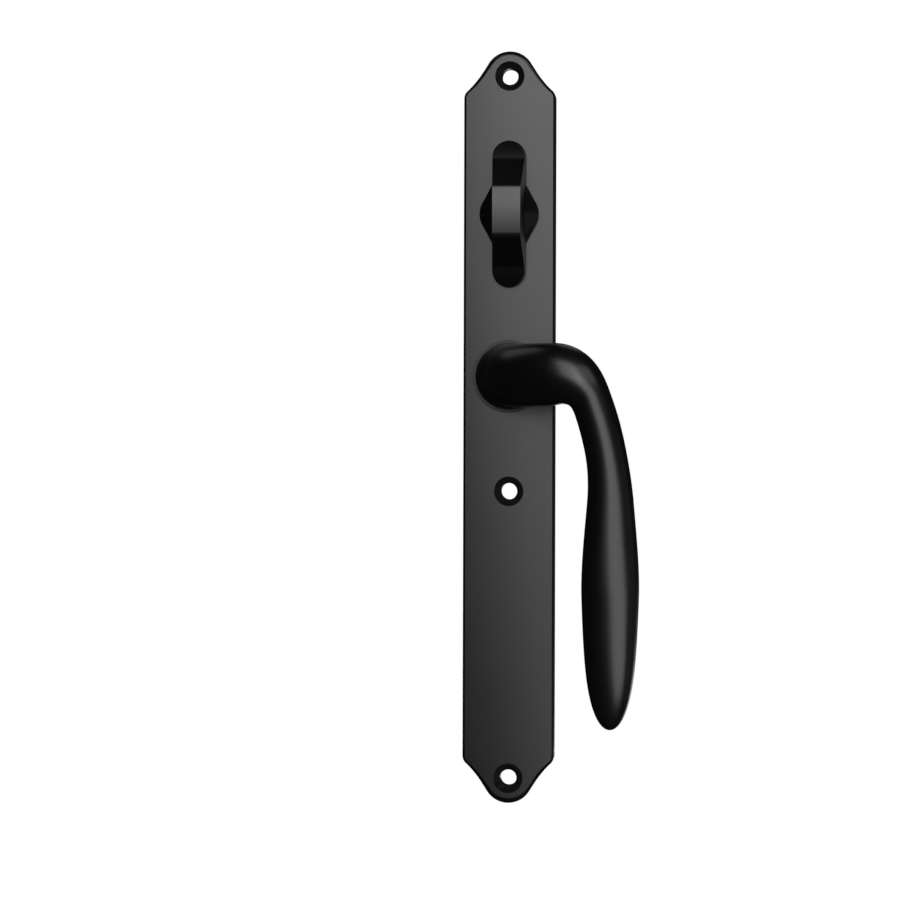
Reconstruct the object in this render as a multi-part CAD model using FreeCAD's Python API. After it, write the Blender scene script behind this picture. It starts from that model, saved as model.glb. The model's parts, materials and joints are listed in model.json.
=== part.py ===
"""Inside handle of a lift and slide door: a cranked lever and a thumbturn on a long plate.

Frame: +Z up, the handle faces -Y, +X is right as seen from the room. The origin lies on the
lever's axis in the plane of the door face, against which the back of the plate is screwed.
Everything is in millimetres. A rotation angle in the plane of the plate is measured from +X
towards +Z, which is anticlockwise as seen from the room.
"""
import FreeCAD, Part
import os
from math import acos, asin, atan2, cos, hypot, pi, radians, sin, tan

from FreeCAD import Vector

os.makedirs("parts", exist_ok=True)

# Plate
plate_width = 39.0
plate_thickness = 10.0
front_wall = 3.0
rim_wall = 2.4
upper_shoulder = 120.5
lower_shoulder = 163.8
shoulder_run = 0.126 * plate_width
shoulder_rise = 0.108 * plate_width
tip_radius = 0.272 * plate_width
shoulder_fillet = 1.8
kink_fillet = 6.0
bevel = 1.4
rib_width = 2.0
rib_recess = 1.0
lower_bay_ribs = 2
land_margin = 1.6

# Screws: M6 with a countersunk head
screw_clear_radius = 3.5
countersink_radius = 6.3
end_screw_beyond_shoulder = 0.19 * plate_width
middle_screw_below_lever = 49.0
screw_boss_radius = 6.5

# Lever
foot_radius = 14.25
foot_flare = 12.0
neck_half_height = 13.2
neck_half_depth = 11.6
grip_from_door = 50.0
grip_from_axis = 44.5
elbow_radius = 17.5
elbow_angle = 70.0
elbow_fullness = 1.2
sweep_drop = 54.0
arm_half_depth = 10.2
waist_half_width = 8.5
waist_half_depth = 8.5
waist_below_axis = 30.0
belly_half_width = 12.0
belly_half_depth = 9.8
belly_below_axis = 89.0
tail_taper = 0.25
tail_taper_power = 1.3
tail_round_power = 5.0
lever_length = 147.2
lever_swing = 180.0
lever_tab_at_rest = 180.0

# Lever bearing
lever_journal_radius = 9.0
lever_bush_wall = 2.5
lever_flange_radius = 15.4
lever_flange = 1.2
lever_thrust_thickness = 0.8
lever_stop_thickness = 1.2
lever_spring_height = 0.8
lever_ring_thickness = 1.1
lever_ring_width = 2.4
lever_groove_depth = 0.6
lever_flat_depth = 1.6
journal_lip = 0.8
journal_behind_door = 0.4

# Thumbturn
turn_above_lever = 69.0
turn_length = 62.5
turn_height = 24.0
blade_base_width = 14.4
blade_front_width = 11.8
blade_front_length = 21.0
blade_crown = 0.5
toe_length = 8.6
toe_height = 7.3
toe_tip_height = 1.2
toe_bulge = 0.35
blade_front_fillet = 3.0
blade_toe_fillet = 3.5
blade_edge_fillet = 1.0
hub_width = 25.2
hub_tip_radius = 9.8
hub_end_radius = 3.0
hub_length = 44.8
hub_wall = 1.6
hub_height = 8.0
hub_top_width = 13.0
hub_top_tip_radius = 5.0
hub_top_end_radius = 2.0
hub_top_length = 30.0
turn_swing = 90.0
turn_tab_at_rest = 180.0

# Thumbturn bearing
turn_journal_radius = 6.0
turn_bush_wall = 1.6
turn_flange_radius = 9.5
turn_flange = 0.8
turn_thrust_thickness = 0.6
turn_stop_thickness = 1.0
turn_spring_height = 0.6
turn_ring_thickness = 1.0
turn_ring_width = 1.8
turn_groove_depth = 0.4
turn_flat_depth = 1.0

# Spindles and their set screws
spindle_side = 10.0
spindle_in_lever = 20.0
spindle_beyond_door = 60.0
spindle_chamfer = 1.0
turn_spindle_side = 6.0
turn_spindle_in_turn = 12.0
turn_spindle_beyond_door = 45.0
turn_spindle_chamfer = 0.6
lever_screw_radius = 2.5
lever_screw_length = 6.5
lever_screw_from_foot = 8.0
turn_screw_radius = 1.5
turn_screw_length = 5.0
turn_screw_from_base = 3.2
hex_share_of_screw = 0.55
hex_depth_share = 0.45

# Clearances
running_clearance = 0.06
press_gap = 0.02
slip_gap = 0.05
end_play = 0.1
socket_floor_gap = 0.5
cut_past = 1.0

# Stop washers
washer_wall = 2.6
tab_to_rim_gap = 1.3
lever_tab_length = plate_width / 2 - rim_wall - tab_to_rim_gap - lever_journal_radius - washer_wall
turn_tab_length = 3.6
tab_half_angle = 12.0
lug_half_angle = 9.0
lug_gap = 0.3
stop_contact_gap = 0.5

# Retaining rings
ring_mouth_half_angle = 24.0
ring_ear_radius = 1.5
ring_eye_radius = 0.7
ring_offset_share = 0.15

# Disc springs
spring_steel = 0.4
spring_wall = 2.6

Y = Vector(0, 1, 0)
Z = Vector(0, 0, 1)

front_y = -plate_thickness
half_width = plate_width / 2
lever_stack = (
    lever_thrust_thickness
    + end_play
    + lever_stop_thickness
    + lever_spring_height
    + lever_ring_thickness
    + journal_lip
)
land_y = -(lever_stack + journal_behind_door)
pocket_y = front_y + front_wall


def polar(radius, degrees, y, centre_z=0.0):
    """Point at this radius and angle round an axis along Y."""
    angle = radians(degrees)
    return Vector(radius * cos(angle), y, centre_z + radius * sin(angle))


def cylinder(radius, y0, y1, x=0.0, z=0.0):
    return Part.makeCylinder(radius, y1 - y0, Vector(x, y0, z), Y)


def ring(outer, inner, y0, y1, z=0.0):
    return cylinder(outer, y0, y1, 0.0, z).cut(cylinder(inner, y0, y1, 0.0, z))


def block(x0, x1, y0, y1, z0, z1):
    return Part.makeBox(x1 - x0, y1 - y0, z1 - z0, Vector(x0, y0, z0))


def square_bar(side, y0, y1, z=0.0):
    return block(-side / 2, side / 2, y0, y1, z - side / 2, z + side / 2)


def prism(edges, depth):
    return Part.Face(Part.Wire(edges)).extrude(Vector(0, depth, 0))


def sector(inner, outer, middle, half_angle, y0, y1, z=0.0):
    """Part of a ring between two radial flanks."""
    start = middle - half_angle
    end = middle + half_angle
    outer_arc = Part.Arc(polar(outer, start, y0, z), polar(outer, middle, y0, z), polar(outer, end, y0, z))
    inner_arc = Part.Arc(polar(inner, end, y0, z), polar(inner, middle, y0, z), polar(inner, start, y0, z))
    edges = [
        Part.LineSegment(polar(inner, start, y0, z), polar(outer, start, y0, z)).toShape(),
        outer_arc.toShape(),
        Part.LineSegment(polar(outer, end, y0, z), polar(inner, end, y0, z)).toShape(),
        inner_arc.toShape(),
    ]
    return prism(edges, y1 - y0)


def bevelled(shape, edge_test, size):
    return shape.makeChamfer(size, [e for e in shape.Edges if edge_test(e)])


def save(node, shape):
    """Write one solid, or a group of solids, as a node."""
    clean = shape.removeSplitter()
    clean.exportStep(f"parts/{node}.step")


# Plate


def end_of_plate(shoulder_z, up):
    """Edges of one end from the right shoulder over the rounded tip to the left shoulder."""
    screw_z = shoulder_z + up * end_screw_beyond_shoulder
    kink_x = half_width - shoulder_run
    kink_from_screw = shoulder_rise - end_screw_beyond_shoulder
    reach = hypot(kink_x, kink_from_screw)
    contact = atan2(kink_from_screw, kink_x) + acos(tip_radius / reach)

    def place(x, z):
        return Vector(x, 0, z)

    touch_x = tip_radius * cos(contact)
    touch_z = screw_z + up * tip_radius * sin(contact)
    tip = place(0, screw_z + up * tip_radius)
    kink_z = shoulder_z + up * shoulder_rise
    return [
        Part.LineSegment(place(half_width, shoulder_z), place(kink_x, kink_z)).toShape(),
        Part.LineSegment(place(kink_x, kink_z), place(touch_x, touch_z)).toShape(),
        Part.Arc(place(touch_x, touch_z), tip, place(-touch_x, touch_z)).toShape(),
        Part.LineSegment(place(-touch_x, touch_z), place(-kink_x, kink_z)).toShape(),
        Part.LineSegment(place(-kink_x, kink_z), place(-half_width, shoulder_z)).toShape(),
    ]


def upright_edges(shape, x):
    """Edges along Y at this distance either side of the middle."""
    found = []
    for edge in shape.Edges:
        a, b = edge.Vertexes[0].Point, edge.Vertexes[-1].Point
        if abs(a.y - b.y) > 1.0 and abs(abs(a.x) - x) < 0.01 and (a - b).cross(Y).Length < 0.01:
            found.append(edge)
    return found


def plate_blank():
    """Outer form: long plate with shouldered ends and a bevel round its front."""
    upper = end_of_plate(upper_shoulder, 1)
    lower = end_of_plate(-lower_shoulder, -1)
    right_side = Part.LineSegment(Vector(half_width, 0, -lower_shoulder), Vector(half_width, 0, upper_shoulder))
    left_side = Part.LineSegment(Vector(-half_width, 0, upper_shoulder), Vector(-half_width, 0, -lower_shoulder))
    outline = Part.Wire(Part.__sortEdges__([right_side.toShape(), *upper, left_side.toShape(), *lower]))
    blank = Part.Face(outline).extrude(Vector(0, front_y, 0))
    blank = blank.makeFillet(shoulder_fillet, upright_edges(blank, half_width))
    blank = blank.makeFillet(kink_fillet, upright_edges(blank, half_width - shoulder_run))
    rim = [e for e in blank.Edges if all(abs(v.Y - front_y) < 0.001 for v in e.Vertexes)]
    return blank.makeChamfer(bevel, rim)


def stop_lugs(shaft_radius, tab_length, rest, swing, y1, z):
    """Two lugs that the tab of a stop washer meets at the ends of its swing."""
    inner = shaft_radius + washer_wall + lug_gap
    outer = shaft_radius + washer_wall + tab_length
    away = tab_half_angle + lug_half_angle + stop_contact_gap
    first = sector(inner, outer, rest - away, lug_half_angle, land_y, y1, z)
    second = sector(inner, outer, rest + swing + away, lug_half_angle, land_y, y1, z)
    return [first, second]


def countersunk_hole(z):
    """Clearance hole with a 90 degree countersink from the front."""
    depth = countersink_radius - screw_clear_radius
    head = Part.makeCone(countersink_radius, screw_clear_radius, depth, Vector(0, front_y, z), Y)
    return head.fuse(cylinder(screw_clear_radius, front_y, 0.0, 0.0, z))


def escutcheon_plate():
    inside = half_width - rim_wall
    recess_top = upper_shoulder - rim_wall
    recess_bottom = -(lower_shoulder - rim_wall)
    lever_land = lever_journal_radius + washer_wall + lever_tab_length + land_margin
    turn_land = turn_journal_radius + washer_wall + turn_tab_length + land_margin
    middle_screw_z = -middle_screw_below_lever

    plate = plate_blank()
    plate = plate.cut(block(-inside, inside, land_y, 0, recess_bottom, recess_top))
    pockets = [
        (recess_bottom, -lever_land),
        (lever_land, turn_above_lever - turn_land),
        (turn_above_lever + turn_land, recess_top),
    ]
    for bottom, top in pockets:
        plate = plate.cut(block(-inside, inside, pocket_y, land_y, bottom, top))

    rib_places = [
        -lever_land - rib_width,
        lever_land,
        turn_above_lever - turn_land - rib_width,
        turn_above_lever + turn_land,
    ]
    bay = middle_screw_z - screw_boss_radius - recess_bottom
    for i in range(lower_bay_ribs):
        rib_places.append(recess_bottom + bay * (i + 1) / (lower_bay_ribs + 1))
    extras = [block(-inside, inside, pocket_y, -rib_recess, z, z + rib_width) for z in rib_places]
    extras.append(cylinder(screw_boss_radius, pocket_y, 0.0, 0.0, middle_screw_z))

    lever_lugs_y = land_y + lever_thrust_thickness + end_play + lever_stop_thickness
    extras += stop_lugs(lever_journal_radius, lever_tab_length, lever_tab_at_rest, lever_swing, lever_lugs_y, 0.0)
    turn_lugs_y = land_y + turn_thrust_thickness + end_play + turn_stop_thickness
    extras += stop_lugs(
        turn_journal_radius, turn_tab_length, turn_tab_at_rest, turn_swing, turn_lugs_y, turn_above_lever
    )
    plate = plate.fuse(extras)

    lever_bore = lever_journal_radius + running_clearance + lever_bush_wall + press_gap
    turn_bore = turn_journal_radius + running_clearance + turn_bush_wall + press_gap
    plate = plate.cut(cylinder(lever_bore, front_y, 0.0))
    plate = plate.cut(cylinder(turn_bore, front_y, 0.0, 0.0, turn_above_lever))
    for z in (
        upper_shoulder + end_screw_beyond_shoulder,
        middle_screw_z,
        -lower_shoulder - end_screw_beyond_shoulder,
    ):
        plate = plate.cut(countersunk_hole(z))
    return plate


# Bearings


def flanged_bush(journal_radius, wall, flange_radius, flange, z):
    """Bush whose flange lies on the front of the plate and carries the foot of what turns."""
    bore = journal_radius + running_clearance
    barrel = cylinder(bore + wall, front_y, land_y, 0.0, z)
    collar = cylinder(flange_radius, front_y - flange, front_y, 0.0, z)
    return barrel.fuse(collar).cut(cylinder(bore, front_y - flange, land_y, 0.0, z))


def thrust_washer(journal_radius, thickness, z):
    bore = journal_radius + running_clearance
    return ring(journal_radius + washer_wall, bore, land_y, land_y + thickness, z)


def double_d(radius, flat_depth, y0, y1, z):
    """Round bar with a flat either side."""
    flat = radius - flat_depth
    bar = cylinder(radius, y0, y1, 0.0, z)
    return bar.common(block(-flat, flat, y0, y1, z - radius, z + radius))


def stop_washer(journal_radius, flat_depth, tab_length, y0, thickness, rest, z):
    """Washer keyed to the journal's flats, with a tab that runs between the plate's lugs."""
    rim = journal_radius + washer_wall
    body = cylinder(rim, y0, y0 + thickness, 0.0, z)
    tab = sector(rim - slip_gap, rim + tab_length, rest, tab_half_angle, y0, y0 + thickness, z)
    key = double_d(journal_radius + slip_gap, flat_depth, y0, y0 + thickness, z)
    return body.fuse(tab).cut(key)


def disc_spring(journal_radius, height, y0, z):
    """Coned steel ring between the stop washer and the retaining ring."""
    inner = journal_radius + slip_gap
    outer = inner + spring_wall
    section = Part.makePolygon([
        Vector(outer, y0, z),
        Vector(outer, y0 + spring_steel, z),
        Vector(inner, y0 + height, z),
        Vector(inner, y0 + height - spring_steel, z),
        Vector(outer, y0, z),
    ])
    return Part.Face(section).revolve(Vector(0, 0, z), Y, 360)


def retaining_ring(groove_radius, width, y0, thickness, z):
    """Circlip: a ring that tapers to two eyed ears either side of its mouth."""
    inner = groove_radius + slip_gap
    shift = width * ring_offset_share
    outer = Part.makeCylinder(inner + width - shift, thickness, Vector(0, y0, z - shift), Y)
    mouth = sector(inner / 2, 2 * inner, 90.0, ring_mouth_half_angle, y0, y0 + thickness, z)
    body = outer.cut(mouth)
    for side in (-1, 1):
        ear = polar(inner + ring_ear_radius, 90.0 + side * ring_mouth_half_angle, y0, z)
        body = body.fuse(cylinder(ring_ear_radius, y0, y0 + thickness, ear.x, ear.z))
        body = body.cut(cylinder(ring_eye_radius, y0, y0 + thickness, ear.x, ear.z))
    return body.cut(cylinder(inner, y0, y0 + thickness, 0.0, z))


def journal(radius, flat_depth, groove_depth, seat_y, flats_y, groove_y, groove_width, end_y, z):
    """Bearing shank with flats for its stop washer and a groove for its retaining ring."""
    shank = cylinder(radius, seat_y, flats_y, 0.0, z)
    shank = shank.fuse(double_d(radius, flat_depth, flats_y, end_y, z))
    groove = ring(radius + cut_past, radius - groove_depth, groove_y, groove_y + groove_width, z)
    return shank.cut(groove)


def set_screw(radius, length, tip, outward):
    """Grub screw with a hexagon socket, from its tip outward."""
    body = Part.makeCylinder(radius, length, tip, outward)
    across = Vector(0, 1, 0) * (radius * hex_share_of_screw)
    start = tip + outward * (length * (1 - hex_depth_share))
    corners = []
    for i in range(7):
        turn = FreeCAD.Rotation(outward, 60.0 * i)
        corners.append(start + turn.multVec(across))
    socket = Part.Face(Part.makePolygon(corners)).extrude(outward * (length * hex_depth_share))
    return body.cut(socket)


# Lever


def smooth(share):
    """Rise from 0 to 1 that starts and ends level."""
    share = min(max(share, 0.0), 1.0)
    return share * share * (3 - 2 * share)


def between(first, last, share):
    return first + (last - first) * share


def oval(centre, side, depth, half_width_here, half_depth_here):
    """Closed oval section on two axes, always begun at the same place so that a loft doesn't twist."""
    count = 12
    points = []
    for i in range(count):
        angle = 2 * pi * i / count
        points.append(centre + side * (half_width_here * cos(angle)) + depth * (half_depth_here * sin(angle)))
    curve = Part.BSplineCurve()
    curve.interpolate(Points=points, PeriodicFlag=True)
    return Part.Wire([curve.toShape()])


def grip_half_width(drop):
    """Half width of the grip at this distance below the lever's axis, down to its belly."""
    share = (drop - waist_below_axis) / (belly_below_axis - waist_below_axis)
    return between(waist_half_width, belly_half_width, smooth(share))


def grip_half_depth(drop):
    share = (drop - waist_below_axis) / (belly_below_axis - waist_below_axis)
    return between(waist_half_depth, belly_half_depth, smooth(share))


def lever_spine(foot_y):
    """Centre, turn and rise of each section from the foot to where the grip hangs straight.

    Seen from the room the spine runs to the right, then down round the elbow, an arc, and down the
    sweep, a parabola that ends upright: turn is its angle below the horizontal. Seen from above it
    leaves the foot square to the door and leans to the side on a quarter circle that reaches into
    the elbow: rise is its angle out of the plane of the plate.
    """
    full = radians(elbow_angle)
    elbow_drop = elbow_radius * (1 - cos(full))
    rest_of_drop = sweep_drop - elbow_drop
    sweep_run = rest_of_drop / tan(full) / 2
    elbow_start = grip_from_axis - sweep_run - elbow_radius * sin(full)
    bend_radius = grip_from_door + foot_y

    def out_of_plane(run):
        """Y and rise where the spine has run this far along the plate."""
        rise = asin(max(bend_radius - run, 0.0) / bend_radius)
        return bend_radius * (1 - cos(rise)) - grip_from_door, rise

    places = []
    for lean in (0.0, 9.0, 18.0, 27.0, 36.0, 45.0, 53.0, 60.0):
        run = bend_radius * (1 - cos(radians(lean)))
        y, rise = out_of_plane(run)
        places.append((Vector(run, y, 0), 0.0, rise))
    for share in (0.11, 0.25, 0.39, 0.54, 0.69, 0.84, 1.0):
        turn = full * share
        y, rise = out_of_plane(elbow_start + elbow_radius * turn)
        x = elbow_start + elbow_radius * sin(turn)
        places.append((Vector(x, y, -elbow_radius * (1 - cos(turn))), turn, rise))
    for share in (0.14, 0.31, 0.52, 0.76, 1.0):
        x = grip_from_axis - sweep_run * (1 - share) ** 2
        drop = elbow_drop + rest_of_drop * share
        turn = pi / 2 - atan2(1 - share, tan(full))
        places.append((Vector(x, -grip_from_door, -drop), turn, 0.0))
    return places


def spine_sections(foot_y):
    """The round foot flares into the neck, and the neck thins round the elbow to the grip's waist."""
    sections = []
    travelled = 0.0
    last = Vector(0, foot_y, 0)
    for centre, turn, rise in lever_spine(foot_y):
        travelled += (centre - last).Length
        last = centre
        flared = smooth(travelled / foot_flare)
        leaned = smooth(1 - rise / (pi / 2))
        bent = smooth(min(turn / radians(elbow_angle), 1.0) ** elbow_fullness)
        height = between(foot_radius, neck_half_height, flared)
        depth = between(between(foot_radius, neck_half_depth, flared), arm_half_depth, leaned)
        along = Vector(cos(rise) * cos(turn), -sin(rise), -cos(rise) * sin(turn))
        side = Vector(sin(turn), 0, cos(turn))
        sections.append(oval(
            centre, side, along.cross(side),
            between(height, grip_half_width(-centre.z), bent),
            between(depth, grip_half_depth(-centre.z), bent),
        ))
    return sections


def tail_share(along):
    """Size of the grip's tail beside its belly: a slow taper that ends in a round tip."""
    return (1 - tail_taper * along ** tail_taper_power) * (1 - along ** tail_round_power) ** 0.5


def grip_sections():
    """Straight down: out to the belly, then in to the tip."""
    right = Vector(1, 0, 0)
    front = Vector(0, -1, 0)
    sections = []
    for share in (1 / 3, 2 / 3, 1.0):
        drop = between(sweep_drop, belly_below_axis, share)
        centre = Vector(grip_from_axis, -grip_from_door, -drop)
        sections.append(oval(centre, right, front, grip_half_width(drop), grip_half_depth(drop)))
    tail = lever_length - belly_below_axis
    for along in (0.23, 0.44, 0.62, 0.765, 0.87, 0.935, 0.972, 0.991, 0.998):
        size = tail_share(along)
        centre = Vector(grip_from_axis, -grip_from_door, -belly_below_axis - tail * along)
        sections.append(oval(centre, right, front, belly_half_width * size, belly_half_depth * size))
    return sections


def lever_places():
    """Where things lie along the lever's axis, from its foot back to the end of its journal."""
    foot = front_y - lever_flange - end_play
    stop = land_y + lever_thrust_thickness + end_play
    spring = stop + lever_stop_thickness
    clip = spring + lever_spring_height
    end = clip + lever_ring_thickness + journal_lip
    return foot, stop, spring, clip, end


def lever_handle():
    foot, stop, spring, clip, end = lever_places()
    casting = Part.makeLoft([*spine_sections(foot), *grip_sections()], True, False)
    shank = journal(
        lever_journal_radius, lever_flat_depth, lever_groove_depth,
        foot, stop, clip, lever_ring_thickness + slip_gap, end, 0.0,
    )
    casting = casting.fuse(shank)
    socket = square_bar(spindle_side + 2 * slip_gap, foot - spindle_in_lever, end)
    bore_top = -spindle_side / 2
    screw_y = foot - lever_screw_from_foot
    screw_hole = Part.makeCylinder(
        lever_screw_radius + slip_gap, foot_radius + bore_top + cut_past, Vector(0, screw_y, bore_top), -Z
    )
    return casting.cut(socket).cut(screw_hole)


def lever_set_screw():
    foot = lever_places()[0]
    tip = Vector(0, foot - lever_screw_from_foot, -spindle_side / 2 - slip_gap)
    return set_screw(lever_screw_radius, lever_screw_length, tip, -Z)


def chamfered_bar(side, y0, y1, chamfer, z):
    """Square bar with its far end bevelled, so that it finds its way into the lock case."""
    bar = square_bar(side, y0, y1, z)
    return bevelled(bar, lambda e: all(abs(v.Y - y1) < 0.001 for v in e.Vertexes), chamfer)


# Thumbturn


def turn_places():
    """Where things lie along the thumbturn's axis, from its base back to the end of its journal."""
    base = front_y - turn_flange - end_play
    stop = land_y + turn_thrust_thickness + end_play
    spring = stop + turn_stop_thickness
    clip = spring + turn_spring_height
    end = clip + turn_ring_thickness + journal_lip
    return base, stop, spring, clip, end


def tapered_plan(base, crown_y):
    """Straight sides and round ends, all narrowing from the base to the front."""
    wide = blade_base_width / 2
    narrow = blade_front_width / 2
    end_z = turn_length / 2 - wide
    height = base - crown_y
    section = Part.makePolygon([
        Vector(x, y, turn_above_lever - end_z)
        for x, y in ((-wide, base), (wide, base), (narrow, crown_y), (-narrow, crown_y), (-wide, base))
    ])
    plan = Part.Face(section).extrude(Vector(0, 0, 2 * end_z))
    for side in (-1, 1):
        centre = Vector(0, base, turn_above_lever + side * end_z)
        plan = plan.fuse(Part.makeCone(wide, narrow, height, centre, -Y))
    return plan.removeSplitter()


def turn_blade(base):
    """Straight grip: its side profile cut to a plan with round ends that narrows to the front."""
    half = turn_length / 2
    half_front = blade_front_length / 2
    crown_y = front_y - turn_height
    front_corner_y = crown_y + blade_crown
    toe_z = half - toe_length
    toe_y = base - toe_height
    tip_z = half + cut_past
    tip_y = base - toe_tip_height
    wide = hub_width / 2

    def place(y, z):
        return Vector(-wide, y, turn_above_lever + z)

    def toe_arc(up):
        """Convex end of the profile, from the slope to past the tip."""
        chord = hypot(toe_y - tip_y, tip_z - toe_z)
        middle_y = (toe_y + tip_y) / 2 - toe_bulge * (tip_z - toe_z) / chord
        middle_z = (toe_z + tip_z) / 2 + toe_bulge * (tip_y - toe_y) / chord
        ends = [place(toe_y, up * toe_z), place(tip_y, up * tip_z)]
        return Part.Arc(ends[0], place(middle_y, up * middle_z), ends[1]).toShape()

    def line(first, last):
        return Part.LineSegment(place(*first), place(*last)).toShape()

    edges = [
        line((front_corner_y, half_front), (toe_y, toe_z)),
        toe_arc(1),
        line((tip_y, tip_z), (base, tip_z)),
        line((base, tip_z), (base, -tip_z)),
        line((base, -tip_z), (tip_y, -tip_z)),
        toe_arc(-1),
        line((toe_y, -toe_z), (front_corner_y, -half_front)),
        Part.Arc(place(front_corner_y, -half_front), place(crown_y, 0), place(front_corner_y, half_front)).toShape(),
    ]
    profile = Part.Face(Part.Wire(Part.__sortEdges__(edges))).extrude(Vector(2 * wide, 0, 0))

    def across_at(z):
        found = []
        for edge in profile.Edges:
            ends = [v.Point for v in edge.Vertexes]
            level = all(abs(abs(p.z - turn_above_lever) - z) < 0.01 for p in ends)
            if level and abs(ends[0].x - ends[-1].x) > wide:
                found.append(edge)
        return found

    profile = profile.makeFillet(blade_front_fillet, across_at(half_front))
    profile = profile.makeFillet(blade_toe_fillet, across_at(toe_z))

    blade = profile.common(tapered_plan(base, crown_y))
    rounded = []
    for edge in blade.Edges:
        box = edge.BoundBox
        on_base = box.YMax > base - 0.01
        along_x = box.YLength + box.ZLength < 0.01
        if not on_base and not along_x:
            rounded.append(edge)
    return blade.makeFillet(blade_edge_fillet, rounded)


def leaf(half_x, tip_radius, end_radius, length, y):
    """Outline rounded at its two sides and at its two ends, with straight flanks between them."""
    side_x = half_x - tip_radius
    end_z = length / 2 - end_radius
    flank = atan2(end_z, -side_x) - acos((tip_radius - end_radius) / hypot(side_x, end_z))
    side_touch = (side_x + tip_radius * cos(flank), tip_radius * sin(flank))
    end_touch = (end_radius * cos(flank), end_z + end_radius * sin(flank))

    def place(x, z):
        return Vector(x, y, turn_above_lever + z)

    edges = []
    for up in (1, -1):
        edges += [
            Part.Arc(
                place(up * side_touch[0], -side_touch[1]), place(up * half_x, 0), place(up * side_touch[0], side_touch[1])
            ),
            Part.LineSegment(
                place(up * side_touch[0], up * side_touch[1]), place(up * end_touch[0], up * end_touch[1])
            ),
            Part.Arc(
                place(up * end_touch[0], up * end_touch[1]), place(0, up * length / 2), place(-up * end_touch[0], up * end_touch[1])
            ),
            Part.LineSegment(
                place(-up * end_touch[0], up * end_touch[1]), place(-up * side_touch[0], up * side_touch[1])
            ),
        ]
    return Part.Wire(Part.__sortEdges__([edge.toShape() for edge in edges]))


def turn_hub(base):
    """Low leaf under the blade, whose sloping sides rise to the blade's."""
    def outline(y):
        return leaf(hub_width / 2, hub_tip_radius, hub_end_radius, hub_length, y)

    wall = Part.Face(outline(base)).extrude(Vector(0, -hub_wall, 0))
    top = leaf(hub_top_width / 2, hub_top_tip_radius, hub_top_end_radius, hub_top_length, base - hub_height)
    return wall.fuse(Part.makeLoft([outline(base - hub_wall), top], True, True)).removeSplitter()


def thumbturn():
    base, stop, spring, clip, end = turn_places()
    casting = turn_blade(base).fuse(turn_hub(base))
    shank = journal(
        turn_journal_radius, turn_flat_depth, turn_groove_depth,
        base, stop, clip, turn_ring_thickness + slip_gap, end, turn_above_lever,
    )
    casting = casting.fuse(shank)
    casting = casting.cut(
        square_bar(turn_spindle_side + 2 * slip_gap, base - turn_spindle_in_turn, end, turn_above_lever)
    )
    flat_x = -turn_spindle_side / 2
    screw_hole = Part.makeCylinder(
        turn_screw_radius + slip_gap, hub_width / 2,
        Vector(flat_x, base - turn_screw_from_base, turn_above_lever), Vector(-1, 0, 0),
    )
    return casting.cut(screw_hole)


def turn_set_screw():
    base = turn_places()[0]
    tip = Vector(-turn_spindle_side / 2 - slip_gap, base - turn_screw_from_base, turn_above_lever)
    return set_screw(turn_screw_radius, turn_screw_length, tip, Vector(-1, 0, 0))


def build_plate_body():
    save("escutcheon_plate", escutcheon_plate())
    save("lever_bush", flanged_bush(lever_journal_radius, lever_bush_wall, lever_flange_radius, lever_flange, 0.0))
    save("lever_thrust_washer", thrust_washer(lever_journal_radius, lever_thrust_thickness, 0.0))
    save("turn_bush", flanged_bush(
        turn_journal_radius, turn_bush_wall, turn_flange_radius, turn_flange, turn_above_lever
    ))
    save("turn_thrust_washer", thrust_washer(turn_journal_radius, turn_thrust_thickness, turn_above_lever))


def build_lever_body():
    foot, stop, spring, clip, end = lever_places()
    save("lever_handle", lever_handle())
    save("lever_stop_washer", stop_washer(
        lever_journal_radius, lever_flat_depth, lever_tab_length, stop, lever_stop_thickness, lever_tab_at_rest, 0.0
    ))
    save("lever_disc_spring", disc_spring(lever_journal_radius, lever_spring_height, spring, 0.0))
    save("lever_retaining_ring", retaining_ring(
        lever_journal_radius - lever_groove_depth, lever_ring_width, clip, lever_ring_thickness, 0.0
    ))
    save("spindle", chamfered_bar(
        spindle_side, foot - spindle_in_lever + socket_floor_gap, spindle_beyond_door, spindle_chamfer, 0.0
    ))
    save("spindle_set_screw", lever_set_screw())


def build_turn_body():
    base, stop, spring, clip, end = turn_places()
    save("thumbturn", thumbturn())
    save("turn_stop_washer", stop_washer(
        turn_journal_radius, turn_flat_depth, turn_tab_length, stop, turn_stop_thickness, turn_tab_at_rest,
        turn_above_lever,
    ))
    save("turn_disc_spring", disc_spring(turn_journal_radius, turn_spring_height, spring, turn_above_lever))
    save("turn_retaining_ring", retaining_ring(
        turn_journal_radius - turn_groove_depth, turn_ring_width, clip, turn_ring_thickness, turn_above_lever
    ))
    save("turn_spindle", chamfered_bar(
        turn_spindle_side, base - turn_spindle_in_turn + socket_floor_gap,
        turn_spindle_beyond_door, turn_spindle_chamfer, turn_above_lever,
    ))
    save("turn_set_screw", turn_set_screw())


build_plate_body()
build_lever_body()
build_turn_body()
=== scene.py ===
import json
import math

import bpy
from mathutils import Matrix, Quaternion, Vector

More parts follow.
